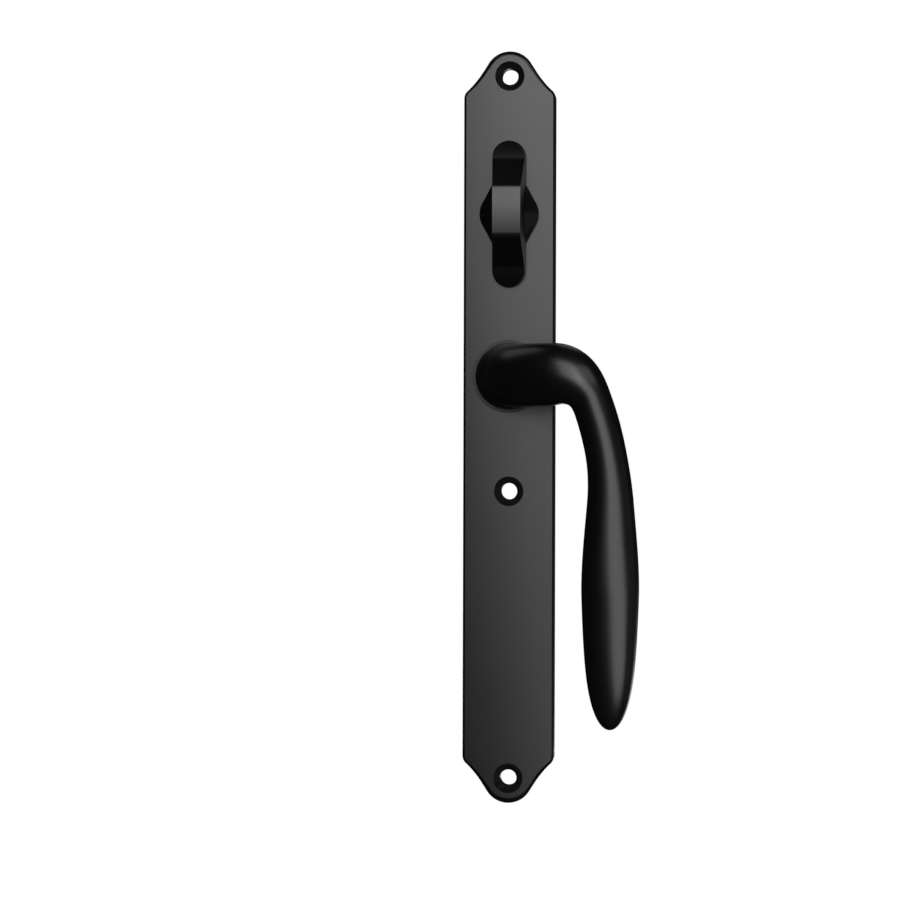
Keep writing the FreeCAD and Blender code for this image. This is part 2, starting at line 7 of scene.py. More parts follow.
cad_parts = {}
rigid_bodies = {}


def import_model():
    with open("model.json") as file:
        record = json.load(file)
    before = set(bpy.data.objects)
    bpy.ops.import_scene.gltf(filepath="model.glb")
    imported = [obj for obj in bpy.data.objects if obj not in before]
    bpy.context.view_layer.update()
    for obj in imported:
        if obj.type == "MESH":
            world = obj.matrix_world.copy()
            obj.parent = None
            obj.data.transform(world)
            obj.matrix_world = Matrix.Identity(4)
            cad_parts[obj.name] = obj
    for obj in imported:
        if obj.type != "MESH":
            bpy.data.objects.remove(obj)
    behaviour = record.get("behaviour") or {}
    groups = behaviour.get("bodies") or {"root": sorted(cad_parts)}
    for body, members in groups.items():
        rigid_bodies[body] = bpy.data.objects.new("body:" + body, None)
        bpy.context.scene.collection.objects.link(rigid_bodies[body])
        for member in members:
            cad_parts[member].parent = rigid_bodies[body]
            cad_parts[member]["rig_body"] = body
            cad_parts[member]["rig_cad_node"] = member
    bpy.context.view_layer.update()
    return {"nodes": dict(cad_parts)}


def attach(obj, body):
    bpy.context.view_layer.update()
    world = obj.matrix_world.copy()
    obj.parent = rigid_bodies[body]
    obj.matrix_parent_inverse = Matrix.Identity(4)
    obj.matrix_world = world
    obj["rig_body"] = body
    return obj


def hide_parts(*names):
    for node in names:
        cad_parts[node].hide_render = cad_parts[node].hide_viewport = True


# Lift and slide door handle: a cranked lever and a thumbturn on a long plate, in black satin coat.
# Metres, +Z up, the room is at -Y. The origin is on the lever's axis at the door face.

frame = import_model()
nodes = frame["nodes"]
scene = bpy.context.scene
mm = 0.001
perMetre = 1 / mm

# The measures of the pieces are in millimetres and degrees, as in the part.
# A cutter reaches this far past the surface that it opens
past = 1.0
# A shape that is added starts this far inside the body that it grows from
rootDepth = 0.5
# Points closer than the gap are welded, faces that differ by less than the angle are merged
weldGap = 0.002
hullGap = 0.005
flatAngle = 0.2
# Two places closer than this are taken for the same
near = 0.1
exact = 0.01
# A face whose normal has at least this much of an axis looks along it
facing = 0.99
# Edges sharper than the angle are broken as under a coat
softening = {"angle": 28.0, "segments": 3, "faceWeight": 60}


def enterEdit():
    bpy.ops.object.mode_set(mode="EDIT")


def leaveEdit():
    bpy.ops.object.mode_set(mode="OBJECT")


def deselectAll():
    if bpy.context.object and bpy.context.object.mode == "EDIT":
        leaveEdit()
    bpy.ops.object.select_all(action="DESELECT")


# Selects these pieces alone, the first of them active
def pick(*pieces):
    deselectAll()
    for piece in pieces:
        piece.select_set(True)
    bpy.context.view_layer.objects.active = pieces[0]


def applyPlace(piece):
    pick(piece)
    bpy.ops.object.transform_apply(location=True, rotation=True, scale=True)
    return piece


def joinAs(name, pieces):
    pick(*pieces)
    bpy.ops.object.join()
    bpy.context.object.name = name
    return bpy.context.object


def applyModifier(piece, kind, **settings):
    pick(piece)
    modifier = piece.modifiers.new(kind.lower(), kind)
    for name, value in settings.items():
        setattr(modifier, name, value)
    bpy.ops.object.modifier_apply(modifier=modifier.name)


# Adds, takes off or keeps in common the other shape, which is used up
def combine(piece, other, operation):
    applyModifier(piece, "BOOLEAN", object=other, operation=operation, solver="EXACT")
    bpy.data.objects.remove(other, do_unlink=True)
    return piece


def addBox(name, low, high):
    middle = [(a + b) / 2 * mm for a, b in zip(low, high)]
    size = [(b - a) * mm for a, b in zip(low, high)]
    deselectAll()
    bpy.ops.mesh.primitive_cube_add(size=1, location=middle, scale=size)
    bpy.context.object.name = name
    return applyPlace(bpy.context.object)


# A cylinder or cone along Y, its first radius at yStart, which is less than yEnd
def addRound(name, radius, yStart, yEnd, x=0.0, z=0.0, endRadius=None, sides=96):
    deselectAll()
    place = (x * mm, (yStart + yEnd) / 2 * mm, z * mm)
    bpy.ops.mesh.primitive_cone_add(
        vertices=sides, radius1=radius * mm, radius2=(radius if endRadius is None else endRadius) * mm,
        depth=(yEnd - yStart) * mm, location=place, rotation=(-math.pi / 2, 0, 0))
    bpy.context.object.name = name
    return applyPlace(bpy.context.object)


# Leaves piece in edit mode with all of it selected
def selectAll(piece):
    pick(piece)
    enterEdit()
    bpy.ops.mesh.select_all(action="SELECT")


def clearSelection(piece, kind):
    pick(piece)
    enterEdit()
    bpy.ops.mesh.select_mode(type=kind)
    bpy.ops.mesh.select_all(action="DESELECT")
    leaveEdit()


# These three leave piece in edit mode with only the faces, edges or points that pass selected
def selectFaces(piece, test):
    clearSelection(piece, "FACE")
    for face in piece.data.polygons:
        face.select = test(face.center / mm, face.normal)
    enterEdit()


def selectEdges(piece, test):
    clearSelection(piece, "EDGE")
    points = piece.data.vertices
    for edge in piece.data.edges:
        edge.select = test(points[edge.vertices[0]].co / mm, points[edge.vertices[1]].co / mm)
    enterEdit()


def selectPoints(piece, test):
    clearSelection(piece, "VERT")
    for point in piece.data.vertices:
        point.select = test(point.co / mm)
    enterEdit()


# Pulls new walls from what is selected, by a step in millimetres
def extrudeBy(step):
    bpy.ops.mesh.extrude_region_move(TRANSFORM_OT_translate={"value": [part * mm for part in step]})


def bevelEdges(piece, test, width, segments):
    selectEdges(piece, test)
    bpy.ops.mesh.bevel(offset=width * mm, segments=segments, affect="EDGES")
    leaveEdit()


def closeLoop(piece, test):
    selectEdges(piece, test)
    bpy.ops.mesh.edge_face_add()
    leaveEdit()


def turnOutward(piece):
    selectAll(piece)
    bpy.ops.mesh.normals_make_consistent(inside=False)
    leaveEdit()


def tidyMesh(piece):
    selectAll(piece)
    bpy.ops.mesh.remove_doubles(threshold=weldGap * mm)
    bpy.ops.mesh.dissolve_limited(angle_limit=math.radians(flatAngle))
    bpy.ops.mesh.normals_make_consistent(inside=False)
    leaveEdit()
    return piece


# Softens the edges, cuts the sharp thread after that, and shades the rest smooth
def roundAndShade(piece, width, angle=softening["angle"], thread=None):
    applyModifier(piece, "BEVEL", width=width * mm, segments=softening["segments"], limit_method="ANGLE",
                  angle_limit=math.radians(angle), use_clamp_overlap=True)
    if thread:
        combine(piece, thread, "DIFFERENCE")
    pick(piece)
    bpy.ops.object.shade_smooth_by_angle(angle=math.radians(angle))
    applyModifier(piece, "WEIGHTED_NORMAL", keep_sharp=True, weight=softening["faceWeight"])


# Camera: long lens, level, a little to the right of the handle; place in metres, lens and sensor in millimetres
photoCamera = {
    "place": (0.08677, -1.49770, -0.03147), "yaw": 4.3, "roll": 0.165,
    "lens": 139.93, "sensor": 36, "clip": (0.05, 50),
}


def addCamera(look):
    deselectAll()
    turned = (Matrix.Rotation(math.radians(look["yaw"]), 3, "Z")
              @ Matrix.Rotation(math.pi / 2, 3, "X")
              @ Matrix.Rotation(math.radians(look["roll"]), 3, "Z"))
    bpy.ops.object.camera_add(location=look["place"], rotation=turned.to_euler())
    camera = bpy.context.object
    camera.name = "photoCamera"
    camera.data.lens = look["lens"]
    camera.data.sensor_width = look["sensor"]
    camera.data.clip_start, camera.data.clip_end = look["clip"]
    scene.camera = camera


addCamera(photoCamera)
print("camera made")


# sRGB hex to the linear colour that the shader reads
def hexColour(text):
    values = [int(text[i:i + 2], 16) / 255 for i in (1, 3, 5)]
    return [v / 12.92 if v <= 0.04045 else ((v + 0.055) / 1.055) ** 2.4 for v in values] + [1.0]


def addNode(tree, kind, settings=None, links=None):
    node = tree.nodes.new(kind)
    for name, value in (settings or {}).items():
        if isinstance(name, int) or name in node.inputs:
            node.inputs[name].default_value = value
        else:
            setattr(node, name, value)
    for name, source in (links or {}).items():
        tree.links.new(source, node.inputs[name])
    return node


# A new material with an empty tree, and the place on the piece to hang its patterns on
def newMaterial(name):
    material = bpy.data.materials.new(name)
    material.use_nodes = True
    tree = material.node_tree
    tree.nodes.clear()
    return material, tree, addNode(tree, "ShaderNodeTexCoord").outputs["Object"]


# Noise with so many features in a metre
def addNoise(tree, place, scale, detail, roughness=0.5):
    noise = addNode(tree, "ShaderNodeTexNoise", {"Scale": scale, "Detail": detail, "Roughness": roughness},
                    {"Vector": place})
    return noise.outputs["Fac"]


def mixColours(tree, first, second, share):
    mix = addNode(tree, "ShaderNodeMix", {"data_type": "RGBA", 6: hexColour(first), 7: hexColour(second)},
                  {0: share})
    return mix.outputs[2]


def mixShaders(tree, share, first, second):
    mix = addNode(tree, "ShaderNodeMixShader", {}, {0: share, 1: first, 2: second})
    return mix.outputs[0]


def spreadValue(tree, limits, share):
    spread = addNode(tree, "ShaderNodeMapRange", {"To Min": limits[0], "To Max": limits[1]}, {"Value": share})
    return spread.outputs["Result"]


def addBump(tree, strength, height, source):
    bump = addNode(tree, "ShaderNodeBump", {"Strength": strength, "Distance": height * mm}, {"Height": source})
    return bump.outputs["Normal"]


def closeMaterial(tree, settings, links):
    shader = addNode(tree, "ShaderNodeBsdfPrincipled", settings, links)
    addNode(tree, "ShaderNodeOutputMaterial", {}, {"Surface": shader.outputs[0]})


# Satin black stoving enamel over a zinc casting, sprayed and baked: deep black with a soft, even sheen,
# and an orange peel so shallow that it only loosens the edge of a reflection
satinEnamel = {
    "dark": "#040405", "light": "#070708", "roughness": (0.265, 0.315), "ior": 1.5,
    "patchSize": 28.0, "patchDetail": 3.0, "patchRoughness": 0.55,
    "peelSize": 1.6, "peelDetail": 2.0, "peelRoughness": 0.45, "peelHeight": 0.004, "peelStrength": 0.35,
}


def makeSatinEnamel(look):
    material, tree, place = newMaterial("satinEnamelOnZinc")
    patches = addNoise(tree, place, perMetre / look["patchSize"], look["patchDetail"], look["patchRoughness"])
    peel = addNoise(tree, place, perMetre / look["peelSize"], look["peelDetail"], look["peelRoughness"])
    closeMaterial(tree, {"IOR": look["ior"]}, {
        "Base Color": mixColours(tree, look["dark"], look["light"], patches),
        "Roughness": spreadValue(tree, look["roughness"], patches),
        "Normal": addBump(tree, look["peelStrength"], look["peelHeight"], peel)})
    return material


# Black nylon, injection moulded: duller than the enamel, with the fine grain of the tool
mouldedNylon = {
    "dark": "#101011", "light": "#18181a", "roughness": 0.52, "ior": 1.53,
    "grainSize": 0.5, "grainDetail": 2.0, "grainHeight": 0.006, "grainStrength": 0.5,
}


def makeMouldedNylon(look):
    material, tree, place = newMaterial("mouldedBlackNylon")
    grain = addNoise(tree, place, perMetre / look["grainSize"], look["grainDetail"])
    closeMaterial(tree, {"IOR": look["ior"], "Roughness": look["roughness"]}, {
        "Base Color": mixColours(tree, look["dark"], look["light"], grain),
        "Normal": addBump(tree, look["grainStrength"], look["grainHeight"], grain)})
    return material


# Bright zinc plate on drawn steel: grey metal with fine lines along the bar and a faint blue and straw cast
drawnZinc = {
    "blue": "#aeb3b9", "straw": "#bdb9ab", "roughness": (0.28, 0.44), "castScale": 90.0, "castDetail": 2.0,
    "lineWidth": 0.35, "lineLength": 30.0, "lineDetail": 3.0, "lineHeight": 0.006, "lineStrength": 0.4,
}


# The drawing lines run along the given axis; a pressed washer has none
def makeZinc(look, name, along):
    material, tree, place = newMaterial(name)
    stretch = [perMetre / look["lineWidth"]] * 3
    if along is not None:
        stretch[along] = perMetre / look["lineLength"]
    scaled = addNode(tree, "ShaderNodeMapping", {"Scale": stretch}, {"Vector": place})
    lines = addNoise(tree, scaled.outputs["Vector"], 1.0, look["lineDetail"])
    cast = addNoise(tree, place, look["castScale"], look["castDetail"])
    closeMaterial(tree, {"Metallic": 1.0}, {
        "Base Color": mixColours(tree, look["blue"], look["straw"], cast),
        "Roughness": spreadValue(tree, look["roughness"], lines),
        "Normal": addBump(tree, look["lineStrength"], look["lineHeight"], lines)})
    return material


# Spring steel, hardened, blackened and oiled: a dark brown-black metal with a slight oily shine
blackenedSteel = {
    "dark": "#1d1c1c", "light": "#34302d", "roughness": (0.34, 0.5), "scaleSize": 1.4, "scaleDetail": 4.0,
}


def makeBlackenedSteel(look):
    material, tree, place = newMaterial("blackenedSpringSteel")
    scale = addNoise(tree, place, perMetre / look["scaleSize"], look["scaleDetail"])
    closeMaterial(tree, {"Metallic": 1.0}, {
        "Base Color": mixColours(tree, look["dark"], look["light"], scale),
        "Roughness": spreadValue(tree, look["roughness"], scale)})
    return material


enamel = makeSatinEnamel(satinEnamel)
nylon = makeMouldedNylon(mouldedNylon)
zincBar = makeZinc(drawnZinc, "drawnZincPlatedSteel", 1)
zincSheet = makeZinc(drawnZinc, "pressedZincPlatedSteel", None)
springSteel = makeBlackenedSteel(blackenedSteel)
print("materials made")


def finishPiece(piece, material, body, slotName, *stoodFor):
    piece.data.materials.clear()
    piece.data.materials.append(material)
    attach(piece, body)
    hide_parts(*stoodFor)


# Height of the thumbturn's axis; the lever's is 0
turnAxis = 69.0

# Plate. Each stop lug: height of its axis, inner and outer radius, bearing of its middle, and back end
plate = {
    "halfWidth": 19.5, "thickness": 10.0, "bevel": 1.4, "edgeRound": 0.3,
    "upperShoulder": 120.5, "lowerShoulder": 163.8,
    "shoulderRun": 4.914, "shoulderRise": 4.212, "tipRadius": 10.608, "tipSides": 128, "screwBeyond": 7.41,
    "shoulderFillet": (1.8, 6), "kinkFillet": (6.0, 8), "softLine": (0.9, 5),
    "crown": 0.5, "crownSteps": 14, "crownOver": 2.0, "crownZ": -22.0, "crownLength": 340.0, "crownDepth": 6.0,
    "rimWall": 2.4, "landY": -5.2, "pocketY": -7.0, "leverLand": 17.4, "turnLand": 13.8,
    "ribWidth": 2.0, "ribRecess": 1.0, "ribRoot": 0.2,
    "screwRadius": 3.5, "sinkRadius": 6.3, "sinkOver": 0.5, "middleScrewZ": -49.0, "bossRadius": 6.5, "bossSides": 64,
    "leverBore": 11.58, "turnBore": 7.68,
    "lugSpread": 18.0, "lugSteps": 6,
    "lugs": ((0.0, 11.9, 15.8, 158.5, -3.1), (0.0, 11.9, 15.8, 381.5, -3.1),
             (turnAxis, 8.9, 12.2, 158.5, -3.5), (turnAxis, 8.9, 12.2, 291.5, -3.5)),
}


# Two tapered steps from the shoulder to where the round tip takes over
def extrudeEnd(piece, up, look):
    shoulder = look["upperShoulder"] if up > 0 else look["lowerShoulder"]
    kinkX = look["halfWidth"] - look["shoulderRun"]
    below = look["shoulderRise"] - look["screwBeyond"]
    contact = math.atan2(below, kinkX) + math.acos(look["tipRadius"] / math.hypot(kinkX, below))
    touchX = look["tipRadius"] * math.cos(contact)
    touchZ = shoulder + look["screwBeyond"] + look["tipRadius"] * math.sin(contact)
    selectFaces(piece, lambda centre, normal: normal.z * up > facing)
    extrudeBy((0, 0, up * look["shoulderRise"]))
    bpy.ops.transform.resize(value=(kinkX / look["halfWidth"], 1, 1))
    extrudeBy((0, 0, up * (touchZ - shoulder - look["shoulderRise"])))
    bpy.ops.transform.resize(value=(touchX / kinkX, 1, 1))
    leaveEdit()


# What the polishing takes off: nothing along the middle, a little towards both sides
def addCrownCutter(look):
    frontY, reach = -look["thickness"], look["halfWidth"] + look["crownOver"]
    deselectAll()
    bpy.ops.mesh.primitive_grid_add(x_subdivisions=look["crownSteps"], y_subdivisions=1, size=1,
                                    location=(0, frontY * mm, look["crownZ"] * mm), rotation=(math.pi / 2, 0, 0))
    cutter = bpy.context.object
    cutter.scale = (2 * reach * mm, look["crownLength"] * mm, 1)
    applyPlace(cutter)
    for step in range(look["crownSteps"] + 1):
        x = reach * (2 * step / look["crownSteps"] - 1)
        selectPoints(cutter, lambda point: abs(point.x - x) < near)
        bpy.ops.transform.translate(value=(0, look["crown"] * (x / look["halfWidth"]) ** 2 * mm, 0))
        leaveEdit()
    selectAll(cutter)
    extrudeBy((0, -look["crownDepth"], 0))
    turnOutward(cutter)
    return cutter


# A small block between two radii, spun from a flat profile
def addLug(look, axisZ, inner, outer, middle, backY):
    frontY = look["landY"] - rootDepth
    deselectAll()
    bpy.ops.mesh.primitive_plane_add(size=1, location=(0, 0, 0))
    lug = bpy.context.object
    lug.name = "stopLug"
    enterEdit()
    bpy.ops.transform.resize(value=((outer - inner) * mm, (backY - frontY) * mm, 1))
    bpy.ops.transform.translate(value=((inner + outer) / 2 * mm, (frontY + backY) / 2 * mm, 0))
    leaveEdit()
    lug.rotation_euler = (0, -math.radians(middle - look["lugSpread"] / 2), 0)
    lug.location = (0, 0, axisZ * mm)
    applyPlace(lug)
    selectAll(lug)
    bpy.ops.mesh.spin(steps=look["lugSteps"], angle=math.radians(look["lugSpread"]), center=(0, 0, axisZ * mm),
                      axis=(0, 1, 0))
    leaveEdit()
    return tidyMesh(lug)


def endScrews(look):
    return look["upperShoulder"] + look["screwBeyond"], -look["lowerShoulder"] - look["screwBeyond"]


def makePlateBody(look):
    halfWidth, frontY = look["halfWidth"], -look["thickness"]
    piece = addBox("longPlate", (-halfWidth, frontY + look["bevel"], -look["lowerShoulder"]),
                   (halfWidth, 0, look["upperShoulder"]))
    extrudeEnd(piece, 1, look)
    extrudeEnd(piece, -1, look)
    for x, fillet in ((halfWidth, look["shoulderFillet"]), (halfWidth - look["shoulderRun"], look["kinkFillet"])):
        bevelEdges(piece, lambda a, b: abs(a.y - b.y) > look["thickness"] / 2 and abs(abs(a.x) - x) < exact, *fillet)
    for z in endScrews(look):
        tip = addRound("tip", look["tipRadius"], frontY + look["bevel"], 0, 0, z, sides=look["tipSides"])
        combine(piece, tip, "UNION")
    tidyMesh(piece)
    selectFaces(piece, lambda centre, normal: normal.y < -facing)
    bpy.ops.mesh.dissolve_faces()
    bpy.ops.mesh.inset(thickness=look["bevel"] * mm, depth=look["bevel"] * mm)
    leaveEdit()
    bevelEdges(piece, lambda a, b: max(a.y, b.y) < frontY + exact, *look["softLine"])
    combine(piece, addCrownCutter(look), "DIFFERENCE")
    print("plate: outline, bevel and crown")
    return piece


def hollowBack(piece, look):
    inside = look["halfWidth"] - look["rimWall"]
    top = look["upperShoulder"] - look["rimWall"]
    bottom = -look["lowerShoulder"] + look["rimWall"]
    turnLow, turnHigh = turnAxis - look["turnLand"], turnAxis + look["turnLand"]
    landY, pocketY, ribWidth, root = look["landY"], look["pocketY"], look["ribWidth"], look["ribRoot"]
    hollow = addBox("hollow", (-inside, landY, bottom), (inside, past, top))
    for low, high in ((bottom, -look["leverLand"]), (look["leverLand"], turnLow), (turnHigh, top)):
        combine(hollow, addBox("pocket", (-inside, pocketY, low), (inside, landY + past, high)), "UNION")
    combine(piece, hollow, "DIFFERENCE")

    bay = look["middleScrewZ"] - look["bossRadius"] - bottom
    for z in (-look["leverLand"] - ribWidth, look["leverLand"], turnLow - ribWidth, turnHigh,
              bottom + bay / 3, bottom + bay * 2 / 3):
        rib = addBox("rib", (-inside - root, pocketY - root, z), (inside + root, -look["ribRecess"], z + ribWidth))
        combine(piece, rib, "UNION")
    boss = addRound("boss", look["bossRadius"], pocketY - root, 0, 0, look["middleScrewZ"], sides=look["bossSides"])
    combine(piece, boss, "UNION")
    for lug in look["lugs"]:
        combine(piece, addLug(look, *lug), "UNION")
    print("plate: hollow back")


def boreFront(piece, look):
    frontY, screwRadius = -look["thickness"], look["screwRadius"]
    for radius, z in ((look["leverBore"], 0.0), (look["turnBore"], turnAxis)):
        combine(piece, addRound("bore", radius, frontY - past, past, 0, z), "DIFFERENCE")
    upper, lower = endScrews(look)
    for z in (upper, look["middleScrewZ"], lower):
        combine(piece, addRound("hole", screwRadius, frontY - past, past, 0, z), "DIFFERENCE")
        sink = addRound("countersink", look["sinkRadius"] + look["sinkOver"], frontY - look["sinkOver"],
                        frontY + (look["sinkRadius"] - screwRadius), 0, z, endRadius=screwRadius)
        combine(piece, sink, "DIFFERENCE")


def makePlate(look):
    piece = makePlateBody(look)
    hollowBack(piece, look)
    boreFront(piece, look)
    tidyMesh(piece)
    roundAndShade(piece, look["edgeRound"])
    finishPiece(piece, enamel, "plate", "black_coat", "escutcheon_plate")
    print("plate made:", len(piece.data.polygons), "faces")


makePlate(plate)


# Lever: the same measures as the part's, so that the piece fills the same room
lever = {
    "footY": -11.3, "footRadius": 14.25, "footFlare": 12.0,
    "neckHalfHeight": 13.2, "neckHalfDepth": 11.6, "armHalfDepth": 10.2, "neckSpan": 60.0, "neckSteps": 22,
    "gripFromDoor": 50.0, "gripFromAxis": 44.5,
    "elbowRadius": 17.5, "elbowAngle": 70.0, "elbowFullness": 1.2, "elbowSteps": 18,
    "sweepDrop": 54.0, "sweepSteps": 16,
    "waistHalfWidth": 8.5, "waistHalfDepth": 8.5, "waistDrop": 30.0,
    "bellyHalfWidth": 12.0, "bellyHalfDepth": 9.8, "bellyDrop": 89.0, "bellySteps": 10,
    "tailTaper": 0.25, "taperPower": 1.3, "roundPower": 5.0, "tailSteps": 29, "tailCrowding": 1.1,
    "length": 147.2, "sides": 64, "edgeRound": 0.35, "sharpAngle": 32.0,
    "innerElbow": {"middle": (21.0, 0, -17.5), "reach": 9.5, "passes": 14},
    "journal": {"radius": 9.0, "flat": 1.6, "groove": 0.6, "seat": -11.3, "flats": -4.3, "grooveY": -2.3,
                "grooveWidth": 1.15, "end": -0.4, "z": 0.0},
    "socketHalf": 5.05, "socketDepth": 20.0,
    "thread": {"crest": 2.55, "root": 2.95, "pitch": 0.8, "length": 12.8, "start": -17.7, "y": -19.3, "sides": 48},
}


def between(first, last, share):
    return first + (last - first) * share


def smooth(share):
    share = min(max(share, 0.0), 1.0)
    return share * share * (3 - 2 * share)


def gripHalf(look, drop, which):
    share = smooth((drop - look["waistDrop"]) / (look["bellyDrop"] - look["waistDrop"]))
    return between(look["waistHalf" + which], look["bellyHalf" + which], share)


# Points of the spine from foot to grip, each with its turn in the plate's plane and its rise out of it
def leverSpine(look):
    full = math.radians(look["elbowAngle"])
    radius = look["elbowRadius"]
    elbowDrop = radius * (1 - math.cos(full))
    sweepRun = (look["sweepDrop"] - elbowDrop) / math.tan(full) / 2
    elbowStart = look["gripFromAxis"] - sweepRun - radius * math.sin(full)
    bend = look["gripFromDoor"] + look["footY"]

    def outOfPlane(run):
        rise = math.asin(max(bend - run, 0.0) / bend)
        return bend * (1 - math.cos(rise)) - look["gripFromDoor"], rise

    places = []
    for i in range(look["neckSteps"] + 1):
        run = bend * (1 - math.cos(math.radians(look["neckSpan"] * i / look["neckSteps"])))
        y, rise = outOfPlane(run)
        places.append((Vector((run, y, 0)), 0.0, rise))
    for i in range(1, look["elbowSteps"] + 1):
        turned = full * i / look["elbowSteps"]
        y, rise = outOfPlane(elbowStart + radius * turned)
        centre = Vector((elbowStart + radius * math.sin(turned), y, -radius * (1 - math.cos(turned))))
        places.append((centre, turned, rise))
    for i in range(1, look["sweepSteps"] + 1):
        share = i / look["sweepSteps"]
        x = look["gripFromAxis"] - sweepRun * (1 - share) ** 2
        drop = elbowDrop + (look["sweepDrop"] - elbowDrop) * share
        turned = math.pi / 2 - math.atan2(1 - share, math.tan(full))
        places.append((Vector((x, -look["gripFromDoor"], -drop)), turned, 0.0))
    return places


# Centre, side axis, depth axis, half width and half depth of every ring from foot to tip, and the tip
def leverRings(look):
    full = math.radians(look["elbowAngle"])
    places = leverSpine(look)
    rings = []
    travelled = 0.0
    last = places[0][0]
    for centre, turned, rise in places:
        travelled += (centre - last).length
        last = centre
        flared = smooth(travelled / look["footFlare"])
        leaned = smooth(1 - rise / (math.pi / 2))
        bent = smooth(min(turned / full, 1.0) ** look["elbowFullness"])
        height = between(look["footRadius"], look["neckHalfHeight"], flared)
        depth = between(between(look["footRadius"], look["neckHalfDepth"], flared), look["armHalfDepth"], leaned)
        along = Vector((math.cos(rise) * math.cos(turned), -math.sin(rise), -math.cos(rise) * math.sin(turned)))
        side = Vector((math.sin(turned), 0, math.cos(turned)))
        rings.append((centre, side, along.cross(side), between(height, gripHalf(look, -centre.z, "Width"), bent),
                      between(depth, gripHalf(look, -centre.z, "Depth"), bent)))

    right, front = Vector((1, 0, 0)), Vector((0, -1, 0))
    for i in range(1, look["bellySteps"] + 1):
        drop = between(look["sweepDrop"], look["bellyDrop"], i / look["bellySteps"])
        centre = Vector((look["gripFromAxis"], -look["gripFromDoor"], -drop))
        rings.append((centre, right, front, gripHalf(look, drop, "Width"), gripHalf(look, drop, "Depth")))
    tail = look["length"] - look["bellyDrop"]
    for i in range(1, look["tailSteps"]):
        along = math.sin(math.pi / 2 * i / look["tailSteps"]) ** look["tailCrowding"]
        size = (1 - look["tailTaper"] * along ** look["taperPower"]) * (1 - along ** look["roundPower"]) ** 0.5
        centre = Vector((look["gripFromAxis"], -look["gripFromDoor"], -look["bellyDrop"] - tail * along))
        rings.append((centre, right, front, look["bellyHalfWidth"] * size, look["bellyHalfDepth"] * size))
    return rings, Vector((look["gripFromAxis"], -look["gripFromDoor"], -look["length"]))


# A circle primitive laid on the section's own two axes
def addRing(centre, side, depth, halfWidth, halfDepth, sides):
    axes = Matrix((side, depth, side.cross(depth))).transposed()
    bpy.ops.mesh.primitive_circle_add(vertices=sides, radius=1, location=centre * mm, rotation=axes.to_euler())
    bpy.context.object.scale = (halfWidth * mm, halfDepth * mm, 1)
    return applyPlace(bpy.context.object)


def bridgeRings(name, rings, sides):
    loops = []
    for ring in rings:
        deselectAll()
        loops.append(addRing(*ring, sides))
    skin = joinAs(name, loops)
    enterEdit()
    bpy.ops.mesh.select_mode(type="EDGE")
    bpy.ops.mesh.select_all(action="SELECT")
    bpy.ops.mesh.bridge_edge_loops()
    leaveEdit()
    return skin


# Cutter for a tapped hole: rings that go in and out by half the pitch, closed at both ends
def addThread(start, side, depth, look):
    along = side.cross(depth)
    rings = []
    for i in range(int(look["length"] / look["pitch"]) * 2 + 1):
        radius = look["crest"] if i % 2 else look["root"]
        rings.append((start + along * (i * look["pitch"] / 2), side, depth, radius, radius))
    cutter = bridgeRings("thread", rings, look["sides"])
    for end in (rings[0][0], rings[-1][0]):
        closeLoop(cutter, lambda a, b: max(abs((a - end).dot(along)), abs((b - end).dot(along))) < exact)
    turnOutward(cutter)
    return cutter


# The lever's skin: rings along the spine, bridged and closed
def addSkin(look):
    rings, tip = leverRings(look)
    skin = bridgeRings("crankedLever", rings, look["sides"])
    footY, lastZ = look["footY"], rings[-1][0].z
    selectEdges(skin, lambda a, b: max(abs(a.z - lastZ), abs(b.z - lastZ)) < exact)
    extrudeBy(tip - rings[-1][0])
    bpy.ops.mesh.merge(type="CENTER")
    leaveEdit()
    closeLoop(skin, lambda a, b: max(abs(a.y - footY), abs(b.y - footY)) < exact)
    turnOutward(skin)
    return skin


# Bearing shank with two flats for its stop washer and a groove for its circlip
def addJournal(look):
    z, radius = look["z"], look["radius"]
    grooveStart, grooveEnd = look["grooveY"], look["grooveY"] + look["grooveWidth"]
    shank = addRound("journal", radius, look["seat"] - rootDepth, look["end"], 0, z)
    for side in (-1, 1):
        low, high = sorted((side * (radius - look["flat"]), side * (radius + past)))
        flat = addBox("flat", (low, look["flats"], z - radius - past), (high, past, z + radius + past))
        combine(shank, flat, "DIFFERENCE")
    groove = addRound("groove", radius + past, grooveStart, grooveEnd, 0, z)
    core = addRound("core", radius - look["groove"], grooveStart - past, grooveEnd + past, 0, z)
    combine(groove, core, "DIFFERENCE")
    return combine(shank, groove, "DIFFERENCE")


# Square hole for the spindle, from the door side
def cutSocket(piece, z, half, deepY):
    combine(piece, addBox("socket", (-half, deepY, z - half), (half, past, z + half)), "DIFFERENCE")


# The rings crowd on the elbow's inner side: the fettler's file runs over it there
def easeElbow(piece, look):
    middle = Vector(look["middle"])

    def inReach(point):
        return math.hypot(point.x - middle.x, point.z - middle.z) < look["reach"]

    selectEdges(piece, lambda a, b: inReach(a) and inReach(b))
    bpy.ops.mesh.vertices_smooth(factor=0.5, repeat=look["passes"])
    leaveEdit()


def makeLever(look):
    piece = addSkin(look)
    easeElbow(piece, look["innerElbow"])
    print("lever skin:", len(piece.data.polygons), "faces")
    combine(piece, addJournal(look["journal"]), "UNION")
    cutSocket(piece, 0.0, look["socketHalf"], look["footY"] - look["socketDepth"])
    thread = look["thread"]
    cutter = addThread(Vector((0, thread["y"], thread["start"])), Vector((1, 0, 0)), Vector((0, 1, 0)), thread)
    roundAndShade(piece, look["edgeRound"], look["sharpAngle"], cutter)
    finishPiece(piece, enamel, "lever", "black_coat", "lever_handle")
    print("lever made:", len(piece.data.polygons), "faces")


makeLever(lever)


